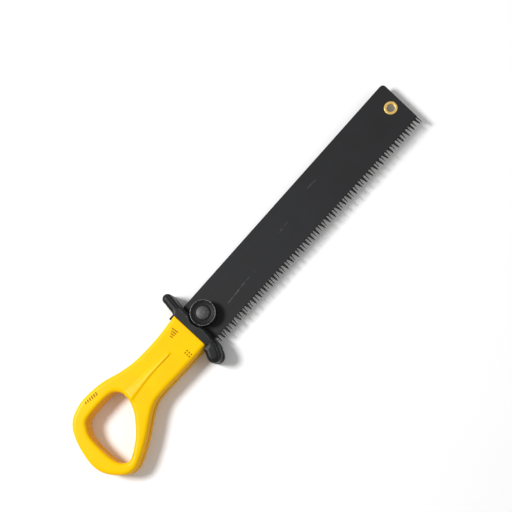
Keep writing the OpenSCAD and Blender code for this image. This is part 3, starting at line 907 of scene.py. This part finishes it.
def blade_plate():
    """Flat plate between the gullet line and the back, with a small chamfer on its faces' edges."""
    x = np.unique(np.concatenate([
        np.linspace(HEEL_X_MM, HEEL_X_MM + HEEL_CUT_MM[0], 4),
        np.linspace(HEEL_X_MM + HEEL_CUT_MM[0], BLADE_HIGH[0] - TIP_R_MM, 64),
        BLADE_HIGH[0] - TIP_R_MM + TIP_R_MM * np.sin(np.linspace(0, np.pi / 2, 12))]))
    low, high = blade_edges(x)
    share = np.linspace(0, 1, 9)[:, None]
    slant_length = 24
    shear = TIP_SLANT_MM * np.clip(1 - (BLADE_HIGH[0] - x) / slant_length, 0, 1) * (1 - share)
    inset_x = np.clip(x, HEEL_X_MM + CHAMFER_MM, BLADE_HIGH[0] - CHAMFER_MM)
    inset_y = (low + CHAMFER_MM) * (1 - share) + (high - CHAMFER_MM) * share
    face = np.stack([inset_x - shear, inset_y], -1)
    full = np.stack([x - shear, low * (1 - share) + high * share], -1)
    skin = Skin()
    for side in (1.0, -1.0):
        top = with_z(face, side * HALF_BLADE)
        rim = with_z(full, side * (HALF_BLADE - CHAMFER_MM))
        skin.grid(top)
        for row in (0, -1):
            skin.grid(np.stack([top[row], rim[row]]))
        for column in (0, -1):
            skin.grid(np.stack([top[:, column], rim[:, column]]))
    upper, lower = (with_z(full, side * (HALF_BLADE - CHAMFER_MM)) for side in (1.0, -1.0))
    for row in (0, -1):
        skin.grid(np.stack([upper[row], lower[row]]))
    for column in (0, -1):
        skin.grid(np.stack([upper[:, column], lower[:, column]]))
    return skin


def tang_profile():
    """Round tang behind the pivot, as thick as the plate that it runs into."""
    t, inner = HALF_BLADE, TANG_R_MM - CHAMFER_MM
    return [(0, t), (inner, t), (TANG_R_MM, t - CHAMFER_MM), (TANG_R_MM, -t + CHAMFER_MM),
            (inner, -t), (0, -t)]


# From root to point: share of the height, half width, share of the ground facet, thickness lost
TOOTH_LEVELS = np.array([(-0.06, 1.4, 1.0, 0.02), (0.3, 1.0, 1.0, 0.06), (0.72, 0.72, 0.8, 0.12),
                         (0.93, 0.44, 0.6, 0.2), (1.0, 0.14, 0.3, 0.28)])

# Depth of a full ground facet on a tooth's corner, and the share of it that is ground on the far side
FACET_MM = 0.38
THIN_FACET = 0.6
# Lean of each second tooth, and how much places, leans and heights differ from tooth to tooth
LEAN_MM = 0.8
PLACE_RANGE_MM = 0.15
LEAN_RANGE_MM = 0.4
SHORT_RANGE_MM = 0.6


def tooth_skin():
    """A row of slender pointed teeth. Each is a column of four-cornered levels that narrow and lean:
    x = middle + lean * share, give or take the half width. Facets inset the corners of each face by
    different amounts, so the flanks slant. Teeth lean and are ground in turn to either side."""
    s = bpy.context.scene.saw_blade
    pitch, height, spread = s.pitch / MM, s.tooth / MM, s.spread / MM
    share, half, facet, lost = TOOTH_LEVELS.T
    end = BLADE_HIGH[0] - TIP_SLANT_MM
    count = 1 + int((end - HEEL_X_MM - FIRST_TOOTH_MM) / pitch - 0.55)
    random = np.random.default_rng(7)
    k = np.arange(count)[:, None]
    odd = k % 2
    middle = HEEL_X_MM + FIRST_TOOTH_MM + (k + 0.5) * pitch + random.uniform(
        -PLACE_RANGE_MM, PLACE_RANGE_MM, (count, 1))
    middle[-1] = end - 0.8
    root, _ = blade_edges(middle)
    lean = (odd - 0.5) * LEAN_MM + random.uniform(-LEAN_RANGE_MM, LEAN_RANGE_MM, (count, 1))
    reach = height - random.uniform(0.0, SHORT_RANGE_MM, (count, 1)) * (k > 0)
    x = middle + lean * np.clip(share, 0, 1)
    y = root - reach * share + 0.05
    thick = HALF_BLADE - lost + 0 * x
    bend = spread * (1 - 2 * odd) * np.clip(share, 0, 1) ** 2
    deep, thin = FACET_MM * facet, THIN_FACET * FACET_MM * facet
    front_left, front_right = deep * (1 - odd), deep * (1 - odd) + thin * odd
    back_left, back_right = deep * odd + thin * (1 - odd), deep * odd
    inner = np.minimum(x + half, end - 0.02)
    corners = np.stack([
        np.stack([x - half + np.minimum(front_left, half), y, thick + bend], -1),
        np.stack([inner - np.minimum(front_right, half), y, thick + bend], -1),
        np.stack([inner - np.minimum(back_right, half), y, -thick + bend], -1),
        np.stack([x - half + np.minimum(back_left, half), y, -thick + bend], -1)], 2)
    skin = Skin()
    for tooth in corners:
        for side in range(4):
            skin.grid(tooth[:, [side, (side + 1) % 4]], slot=side % 2)
        for cap in (tooth[0], tooth[-1]):
            skin.grid(cap[[[0, 1], [3, 2]]])
    return skin


def lock_slot_cutters():
    """Pivot hole, eyelet hole, and the arc slot with its two keyhole ends."""
    high, low = HALF_BLADE + 1, -HALF_BLADE - 1
    holes = [((0, 0), BARREL_HOLE_R_MM), (EYELET_MIDDLE, EYELET_HOLE_R_MM)]
    for end_deg in (180, 180 + FOLD_DEG):
        a = math.radians(end_deg)
        holes.append(((LOCK_R_MM * math.cos(a), LOCK_R_MM * math.sin(a)), KEYHOLE_R_MM))
    meshes = [bore("blackened_steel", centre, radius, high, low, 40) for centre, radius in holes]
    angle = np.radians(np.linspace(180, 180 + FOLD_DEG, 40))[:, None]
    radius = np.array([-1, 1, 1, -1, -1])[None] * LOCK_SLOT_HALF_MM + LOCK_R_MM
    z = np.array([high, high, low, low, high])[None]
    ring = np.stack([radius * np.cos(angle), radius * np.sin(angle), z + 0 * angle], -1)
    slot = Skin().grid(ring)
    for end in (0, -1):
        a, b, c, d = ring[end, :4]
        slot.grid(np.array([[a, b], [d, c]]))
    meshes.append(slot.mesh("slot", ["blackened_steel"]))
    return meshes


class SAW_OT_blade(bpy.types.Operator):
    """Makes the blade's plate with its holes, and the row of ground teeth"""
    bl_idname = "saw.blade"
    bl_label = "Blade and teeth"

    def execute(self, context):
        mesh = blade_plate().mesh("blade_plate", ["blackened_steel"], SHARP_BLADE_DEG)
        plate = add_piece(mesh, "blade", "blackened_steel", "blade")
        tang = turned_mesh("blade_tang", "blackened_steel", tang_profile())
        cut(plate, [tang], "UNION", SHARP_BLADE_DEG)
        cut(plate, lock_slot_cutters(), sharp_deg=SHARP_BLADE_DEG)
        teeth = tooth_skin().mesh("blade_teeth", ["hardened_points", "ground_steel"], SHARP_TOOTH_DEG)
        add_piece(teeth, "blade", "blackened_steel")
        return {"FINISHED"}


class SAW_OT_eyelet(bpy.types.Operator):
    """Makes the rolled brass eyelet and its washer"""
    bl_idname = "saw.eyelet"
    bl_label = "Tip eyelet"

    def execute(self, context):
        centre = EYELET_MIDDLE
        flange = EYELET_HIGH[0] - centre[0]
        top, bottom = EYELET_HIGH[2], EYELET_LOW[2]
        inner = EYELET_BORE_R_MM
        wall_r = inner + EYELET_WALL_MM
        lip, crown = 0.7, 0.62
        profile = ([(inner, bottom)] + [(inner, h) for h in np.linspace(bottom + 0.2, top - 0.75, 4)]
                   + arc((inner + lip, top - lip), lip, 180, 90, 7)
                   + arc((flange - crown, top - crown), crown, 90, 0, 7)
                   + [(flange - 0.05, HALF_BLADE), (wall_r, HALF_BLADE), (wall_r, bottom),
                      (inner, bottom)])
        eyelet = turned_mesh("eyelet_rolled", "bright_brass", profile, centre, 72)
        add_piece(eyelet, "blade", "brass", "tip_eyelet")
        outer = WASHER_HIGH[0] - centre[0]
        low, high = WASHER_LOW[2], WASHER_HIGH[2]
        hole = wall_r + 0.02
        profile = ([(hole, high), (outer, high)] + arc((outer - 0.5, low + 0.5), 0.5, 0, -90, 6)
                   + arc((wall_r + 0.4, low + 0.3), 0.3, -90, -180, 4) + [(hole, high)])
        washer = turned_mesh("eyelet_ring", "bright_brass", profile, centre, 72)
        add_piece(washer, "blade", "brass", "eyelet_washer")
        return {"FINISHED"}


# ---------------------------------------------------------------- guard

# Width of the painted highlight line along the bevel, and how far the guard stays off the turned knob
EDGE_LINE_MM = 0.22
KNOB_GAP_MM = 0.3
# Fall of the face over a lug's edge and the width of that edge, fall over the bar's bevel, and
# rounding of the bar's back edge
LUG_DROP_MM = 3.6
LUG_ROUND_MM = 3.9
BEVEL_DROP_MM = 2.4
BAR_ROUND_MM = 0.5


def guard_strip():
    """Left and right edge of the guard from the end of its upper lug to the end of its lower lug.
    Each edge is the middle line moved sideways by the half width, which closes as a circle."""
    front, back = GUARD_FRONT_MM, SHELL_HIGH[0]
    middle_x = (front + back) / 2
    top, low = GUARD_HIGH[1], GUARD_LOW[1]
    upper_r, lower_r = UPPER_LUG_R_MM, LOWER_LUG_R_MM
    # Upper lug, straight bar, then the lower lug, which swings back towards the grip
    line = catmull([(middle_x + 1.8, top), (middle_x + 1.5, top - 6), (middle_x + 0.6, 22),
                    (middle_x, 15), (middle_x, 4), (middle_x, -6), (middle_x, -13), (-14.2, -19.5),
                    (-16.2, -24.6), (-18.6, low + lower_r), (-20.7, low + 0.05)], 30)
    run = arc_length(line)
    closing = 1 - np.cos(np.linspace(0, np.pi / 2, 12))
    share = np.unique(np.concatenate([
        closing * upper_r / run[-1], np.linspace(upper_r, run[-1] - lower_r, 120) / run[-1],
        1 - closing * lower_r / run[-1]]))
    centre = at_share(line, share)
    ahead = np.gradient(centre, axis=0)
    ahead /= np.linalg.norm(ahead, axis=1)[:, None]
    side = np.stack([-ahead[:, 1], ahead[:, 0]], -1)
    from_top, from_low = share * run[-1], (1 - share) * run[-1]
    half_bar = (front - back) / 2
    half = np.interp(from_top, [0, top - 19.5, top - 16.5], [upper_r, upper_r, half_bar])
    half_low = np.interp(from_low, [0, 13, 19], [lower_r, lower_r, half_bar])
    half = np.where(from_low < 20, half_low, half)
    for from_end, radius in ((from_top, upper_r), (from_low, lower_r)):
        short = np.clip(radius - from_end, 0, radius)
        half = half * np.sqrt(1 - (short / radius) ** 2)
    right = centre + side * half[:, None]
    left = centre - side * half[:, None]
    knob_r = HOUSING_HIGH[0] + KNOB_GAP_MM
    at_knob = (np.abs(right[:, 1]) < knob_r) & (right[:, 1] > -15)
    scallop = -np.sqrt(np.clip(knob_r ** 2 - right[:, 1] ** 2, 0, None))
    right[at_knob, 0] = np.minimum(right[at_knob, 0], scallop[at_knob])
    shell_low = -bpy.context.scene.saw_handle.neck_low / MM - 1.2
    at_shell = (left[:, 1] > shell_low) & (left[:, 1] < 17)
    left[at_shell, 0] = np.maximum(left[at_shell, 0], back)
    return left, right


def guard_skin(side):
    """One half of the guard: a strip between its two edges, flat on the bar with a bevel towards the
    blade, and rounded right over on the lugs."""
    bevel = bpy.context.scene.saw_fittings.bevel / MM
    left, right = guard_strip()
    width = np.linalg.norm(right - left, axis=1)[:, None]
    edge_share = 1 - np.minimum(bevel / np.maximum(width, 1e-6), 0.3)
    line_share = np.minimum(EDGE_LINE_MM / np.maximum(width, 1e-6), 0.02)
    ease = (1 - np.cos(np.linspace(0, np.pi, 25)))[None] / 2
    across = np.concatenate([ease * (edge_share - line_share),
                             edge_share + (1 - edge_share) * np.linspace(0, 1, 9)[None]], 1)
    xy = left[:, None] * (1 - across[..., None]) + right[:, None] * across[..., None]
    y = xy[..., 1]
    on_bar = np.interp(y, [-23.5, -19.5, 16.5, 20.0], [0, 1, 1, 0])
    outline = np.vstack([left, right[::-1]])
    dense = at_share(outline, np.linspace(0, 1, 1600))
    distance = distance_to(xy, dense)
    lug_drop = LUG_DROP_MM * (1 - np.sqrt(1 - (1 - np.clip(distance / LUG_ROUND_MM, 0, 1)) ** 2))
    to_right = (1 - across) * width
    to_left = across * width
    bar_drop = np.clip((bevel - to_right) / bevel, 0, 1) * BEVEL_DROP_MM
    bar_drop = bar_drop + round_drop(to_left, BAR_ROUND_MM)
    z = GUARD_HIGH[2] - bar_drop * on_bar - lug_drop * (1 - on_bar)
    low = SLOT_Z + 0.02
    skin = Skin()
    top, under = with_z(xy, side * z), with_z(xy, side * low)
    flat = ease.shape[1]
    # Slot 1 is the narrow strip where the bevel starts, which takes the painted highlight.
    skin.grid(top[:, :flat]).grid(top[:, flat - 1:flat + 1], slot=1).grid(top[:, flat:]).grid(under)
    for column in (0, -1):
        rows = [top[:, column] * (1 - k) + under[:, column] * k for k in np.linspace(0, 1, 6)]
        skin.grid(np.stack(rows))
    return skin


def tab_skin(side):
    """Small stepped tab of the guard above the shell's front corner."""
    back, front = SHELL_HIGH[0] - TAB_MM["length"], SHELL_HIGH[0] + 1
    low, high, top = TAB_MM["low"], TAB_MM["high"], TAB_MM["top"]
    corner = 0.4
    outline = np.array([[back + corner, low], [front, low], [front, high], [back + corner, high],
                        [back, high - corner], [back, low + corner]])
    centre = outline.mean(0)
    rings = [with_z(outline * (1 - shrink) + centre * shrink, side * z) for shrink, z in (
        (1, SLOT_Z), (0, SLOT_Z), (0, top - corner), (0.1, top), (1, top))]
    return Skin().grid(np.stack(rings, 1), closed=True)


class SAW_OT_guard(bpy.types.Operator):
    """Makes both halves of the cross guard with their lugs and tabs"""
    bl_idname = "saw.guard"
    bl_label = "Cross guard"

    def execute(self, context):
        for side, half in ((1.0, "front"), (-1.0, "back")):
            mesh = guard_skin(side).mesh(f"guard_{half}_moulding", ["black_moulding", "bevel_painted_highlight"],
                                         SHARP_GUARD_DEG)
            piece = add_piece(mesh, "handle", "black_plastic", f"guard_{half}")
            tab = tab_skin(side).mesh(f"guard_{half}_tab", ["black_moulding"])
            add_piece(tab, "handle", "black_plastic")
            if side < 0:
                seat = bore("black_moulding", middle_mm("guard_screw"), GUARD_SEAT_MM["radius"], -12,
                            -GUARD_HIGH[2] + GUARD_SEAT_MM["depth"], 40)
                cut(piece, [seat], sharp_deg=SHARP_GUARD_DEG)
        return {"FINISHED"}


# ---------------------------------------------------------------- knob

class SAW_OT_knob(bpy.types.Operator):
    """Makes the turned knob, its dished ring, the domed button and the boss on the back"""
    bl_idname = "saw.knob"
    bl_label = "Pivot knob and button"

    def execute(self, context):
        self.housing()
        self.dished_ring()
        self.button()
        self.back_boss()
        return {"FINISHED"}

    def housing(self):
        """Turned cup with a rounded rim that carries a painted highlight."""
        outer, bowl, axle = HOUSING_HIGH[0], CAP_HIGH[0], HOUSING_BORE_R_MM
        top, floor = HOUSING_HIGH[2], HOUSING_LOW[2]
        inner_floor = floor + 0.8
        profile = ([(axle, floor), (outer - 0.3, floor), (outer, floor + 0.3)]
                   + [(outer, h) for h in np.linspace(floor + 1, top - 1, 4)]
                   + arc((outer - 0.3, top - 0.3), 0.3, 0, 35, 3))
        # The rim's arc is slot 1, with the painted highlight finish.
        rim = arc((outer - 0.3, top - 0.3), 0.3, 35, 110, 5)
        inside = [rim[-1], (bowl + 0.4, top - 0.34), (bowl, top - 0.5), (bowl, inner_floor),
                  (axle, inner_floor), (axle, floor)]
        profile.append(rim[0])
        housing = Skin()
        for part, slot in ((profile, 0), (rim, 1), (inside, 0)):
            housing.grid(turned_body(part, (0, 0), 128), slot, closed=True)
        add_piece(housing.mesh("knob_housing_turned", ["black_turned", "rim_painted_highlight"]), "handle",
                  "black_metal", "knob_housing")

    def dished_ring(self):
        """Ring that dips from the knob's rim to a small raised collar round the button."""
        bowl, hole, base = CAP_HIGH[0], BUTTON_HOLE_R_MM, CAP_LOW[2]
        edge = HOUSING_HIGH[2] - 0.52
        dish = [(bowl, edge)]
        for k in np.linspace(0, 1, 14):
            radius = bowl - 0.15 + (hole + 0.75 - bowl + 0.15) * k
            dish.append((radius, edge - 0.06 - 0.6 * math.sin(k * math.pi / 2)))
        low = dish[-1][1]
        dish += [(hole + 0.6, low + 0.1), (hole + 0.35, low + 0.42), (hole + 0.15, low + 0.42),
                 (hole, low + 0.2), (hole, base), (bowl, base), (bowl, edge)]
        dish = [(r, max(z, base)) for r, z in dish]
        add_piece(turned_mesh("knob_dished_ring", "black_turned", dish, steps=128), "handle",
                  "black_metal", "knob_cap")

    def button(self):
        """Flange, straight side, and a shallow dome with a rounded shoulder and a faint centre dimple."""
        flange = BUTTON_HIGH[0]
        low, top = BUTTON_LOW[2], BUTTON_HIGH[2]
        radius = BUTTON_R_MM
        profile = [(0, low), (flange - 0.2, low), (flange, low + 0.2), (flange, low + 0.8),
                   (flange - 0.2, low + 1.0), (radius, low + 1.0), (radius, top - 1.5)]
        profile += arc((radius - 0.55, top - 1.1), 0.55, 0, 70, 7)
        shoulder_r, shoulder_z = profile[-1]
        for k in np.linspace(0.1, 1, 12):
            r = shoulder_r * (1 - k)
            dome = shoulder_z + (top - shoulder_z) * (1 - (r / shoulder_r) ** 2)
            dimple = 0.12 * math.exp(-(r / 1.1) ** 2)
            profile.append((r, dome - dimple))
        piece = add_piece(turned_mesh("lock_button_domed", "button_metal", profile), "button",
                          "black_metal", "lock_button")
        cut(piece, [bore("button_metal", PIN_MIDDLE, PIN_HOLE_R_MM, low - 1, low + 2, 32)])

    def back_boss(self):
        """Round boss under the pivot screw, with a rounded edge and a recess for the screw's head."""
        outer = BACK_CAP_HIGH[0]
        low, high = BACK_CAP_LOW[2], BACK_CAP_HIGH[2]
        head, hole, seat = SCREW_HEAD_R_MM, SCREW_HOLE_R_MM, high - 1.2
        profile = ([(hole, high), (outer, high)] + arc((outer - 0.7, low + 0.7), 0.7, 0, -90, 7)
                   + arc((head + 0.3, low + 0.3), 0.3, -90, -180, 4)
                   + [(head, seat), (hole, seat), (hole, high)])
        piece = add_piece(turned_mesh("back_boss_moulding", "black_moulding", profile), "handle",
                          "black_plastic", "back_cap")
        cut(piece, [bore("black_moulding", PIN_MIDDLE, PIN_POCKET_R_MM, low + 1.5, high + 1, 32)])


# ---------------------------------------------------------------- carried-over nodes

NODE_FINISHES = {
    "front_liner": "plated_steel", "back_liner": "plated_steel", "guard_spacer": "plated_steel",
    "guard_screw": "plated_steel", "guard_front_screws": "plated_steel",
    "guard_back_screws": "plated_steel", "front_liner_screws": "plated_steel",
    "back_liner_screws": "plated_steel", "front_liner_inserts": "brass", "back_liner_inserts": "brass",
    "handle_screws": "plated_steel", "handle_inserts": "brass", "pivot_barrel": "plated_steel",
    "pivot_screw": "plated_steel", "front_thrust_washer": "bronze", "back_thrust_washer": "bronze",
    "lock_pin": "plated_steel",
}


class SAW_OT_spring(bpy.types.Operator):
    """Makes the button's two-turn spring"""
    bl_idname = "saw.spring"
    bl_label = "Button spring"

    def execute(self, context):
        low, high, wire = SPRING_LOW, SPRING_HIGH, WIRE_R_MM
        radius = (high[0] - low[0]) / 2 - wire
        turn = np.linspace(0, 2 * np.pi * SPRING_TURNS, 28 * SPRING_TURNS + 1)[None]
        around = np.linspace(0, 2 * np.pi, 10, endpoint=False)[:, None]
        rise = (high[2] - low[2] - 2 * wire) * turn / turn.max() + low[2] + wire
        r = radius + wire * np.cos(around)
        coil = np.stack([r * np.cos(turn), r * np.sin(turn), rise + wire * np.sin(around)], -1)
        ends = [coil[:, :1] * 0 + coil[:, [k]].mean(0) for k in (0, -1)]
        coil = np.concatenate([ends[0], coil, ends[1]], 1)
        piece = add_piece(Skin().grid(coil, closed=True).mesh("button_spring_coil", ["plated_steel"]),
                          "handle", "steel", "button_spring")
        keep = 1 - PRESS_MM / (high[2] - low[2])
        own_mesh(piece)
        return {"FINISHED"}


class SAW_OT_fasteners(bpy.types.Operator):
    """Gives the liners, screws, inserts, washers and pin their metal finishes"""
    bl_idname = "saw.fasteners"
    bl_label = "Fasteners and liners"

    def execute(self, context):
        for node, name in NODE_FINISHES.items():
            piece = frame["nodes"][node]
            if not piece.material_slots:
                piece.data.materials.append(None)
            for slot in piece.material_slots:
                slot.material = finish(name)
        return {"FINISHED"}


# ---------------------------------------------------------------- stage

def aim(thing, place, target, up):
    """Puts a camera or a light at place, looking at target, with up at the top of its view."""
    back = Vector(place) - Vector(target)
    back.normalize()
    right = Vector(up).cross(back).normalized()
    rise = back.cross(right)
    rows = [(right[i], rise[i], back[i], place[i]) for i in range(3)]
    thing.matrix_world = Matrix([*rows, (0, 0, 0, 1)])


# From the pivot: the point that the camera looks at, and the middle of the saw
TARGET_MM = (61.55, 0.46, 0.0)
CENTRE_MM = (40.0, 0.0, 0.0)
# Place of each light from the middle of the saw, and its width, in metres
KEY_PLACE, KEY_WIDTH = (-0.55, 0.82, 1.31), 0.54
FILL_PLACE, FILL_WIDTH = (0.75, -0.6, 0.8), 0.9
WORLD_STRENGTH = 0.36
# Gap between the saw and the floor, and the radii of the floor's rings
FLOOR_GAP_MM = 0.02
FLOOR_RINGS_MM = (0.0, 600.0, 2500.0)


class SAW_OT_stage(bpy.types.Operator):
    """Makes the pale floor, the soft lights and the camera"""
    bl_idname = "saw.stage"
    bl_label = "Stage"

    def execute(self, context):
        s = context.scene.saw_stage
        tilt, roll = math.radians(s.tilt_deg), math.radians(s.roll_deg)
        target = Vector(PIVOT) + Vector(TARGET_MM) * MM
        away = Vector((0, -math.sin(tilt), math.cos(tilt)))
        forward_y = Vector((0, math.cos(tilt), math.sin(tilt)))
        picture_up = Vector((math.sin(roll), 0, 0)) + forward_y * math.cos(roll)
        camera_data = bpy.data.cameras.new("camera")
        camera_data.angle = math.radians(s.fov_deg)
        camera = put("camera", camera_data)
        aim(camera, target + away * s.distance, target, picture_up)
        context.scene.camera = camera
        self.floor()
        centre = Vector(PIVOT) + Vector(CENTRE_MM) * MM
        self.light("key_light", centre + Vector(KEY_PLACE), centre, KEY_WIDTH, s.key_power)
        self.light("fill_light", centre + Vector(FILL_PLACE), centre, FILL_WIDTH, s.fill_power)
        self.world(context)
        context.scene.view_settings.view_transform = "Standard"
        return {"FINISHED"}

    def floor(self):
        """Flat disc of floor under the saw: a ring grid out to its edge."""
        rest = CAD_BOUNDS[0][2] / MM - PIVOT[2] / MM - FLOOR_GAP_MM
        profile = [(radius, rest) for radius in FLOOR_RINGS_MM]
        mesh = turned_mesh("floor", "pale_floor", profile, CENTRE_MM[:2], 64)
        floor = put("floor", mesh)
        if floor.data.polygons[0].normal.z < 0:
            floor.data.flip_normals()

    def light(self, name, place, target, size, power):
        """A round soft light that points at the target."""
        data = bpy.data.lights.new(name, "AREA")
        data.shape = "DISK"
        data.size = size
        data.energy = power
        aim(put(name, data), place, target, (0.3, 1.0, 0.1))

    def world(self, context):
        """Even white light from all round."""
        world = bpy.data.worlds.new("studio")
        world.use_nodes = True
        background = world.node_tree.nodes["Background"].inputs
        background["Color"].default_value = (1.0, 1.0, 1.0, 1.0)
        background["Strength"].default_value = WORLD_STRENGTH
        context.scene.world = world


# ---------------------------------------------------------------- panel and registration

OPERATORS = (SAW_OT_handle, SAW_OT_blade, SAW_OT_eyelet, SAW_OT_guard, SAW_OT_knob, SAW_OT_spring,
             SAW_OT_fasteners, SAW_OT_stage)
SETTINGS = {"saw_handle": HandleSettings, "saw_blade": BladeSettings, "saw_fittings": FittingSettings,
            "saw_stage": StageSettings}


class SAW_PT_panel(bpy.types.Panel):
    """Buttons and settings of the saw in the sidebar"""
    bl_idname = "SAW_PT_panel"
    bl_label = "Folding pruning saw"
    bl_space_type = "VIEW_3D"
    bl_region_type = "UI"
    bl_category = "Saw"

    def draw(self, context):
        for operator in OPERATORS:
            self.layout.operator(operator.bl_idname)
        for name, group in SETTINGS.items():
            for each in group.__annotations__:
                self.layout.prop(getattr(context.scene, name), each)


def register():
    """Adds the operators, the panel and the settings."""
    for each in (*SETTINGS.values(), *OPERATORS, SAW_PT_panel):
        bpy.utils.register_class(each)
    for name, group in SETTINGS.items():
        setattr(bpy.types.Scene, name, bpy.props.PointerProperty(type=group))


def unregister():
    """Takes them away again."""
    for name in SETTINGS:
        delattr(bpy.types.Scene, name)
    for each in reversed((*SETTINGS.values(), *OPERATORS, SAW_PT_panel)):
        bpy.utils.unregister_class(each)


def main():
    register()
    bpy.ops.saw.stage()
    bpy.ops.saw.handle()
    bpy.ops.saw.blade()
    bpy.ops.saw.eyelet()
    bpy.ops.saw.guard()
    bpy.ops.saw.knob()
    bpy.ops.saw.spring()
    bpy.ops.saw.fasteners()


if __name__ == "__main__":
    main()
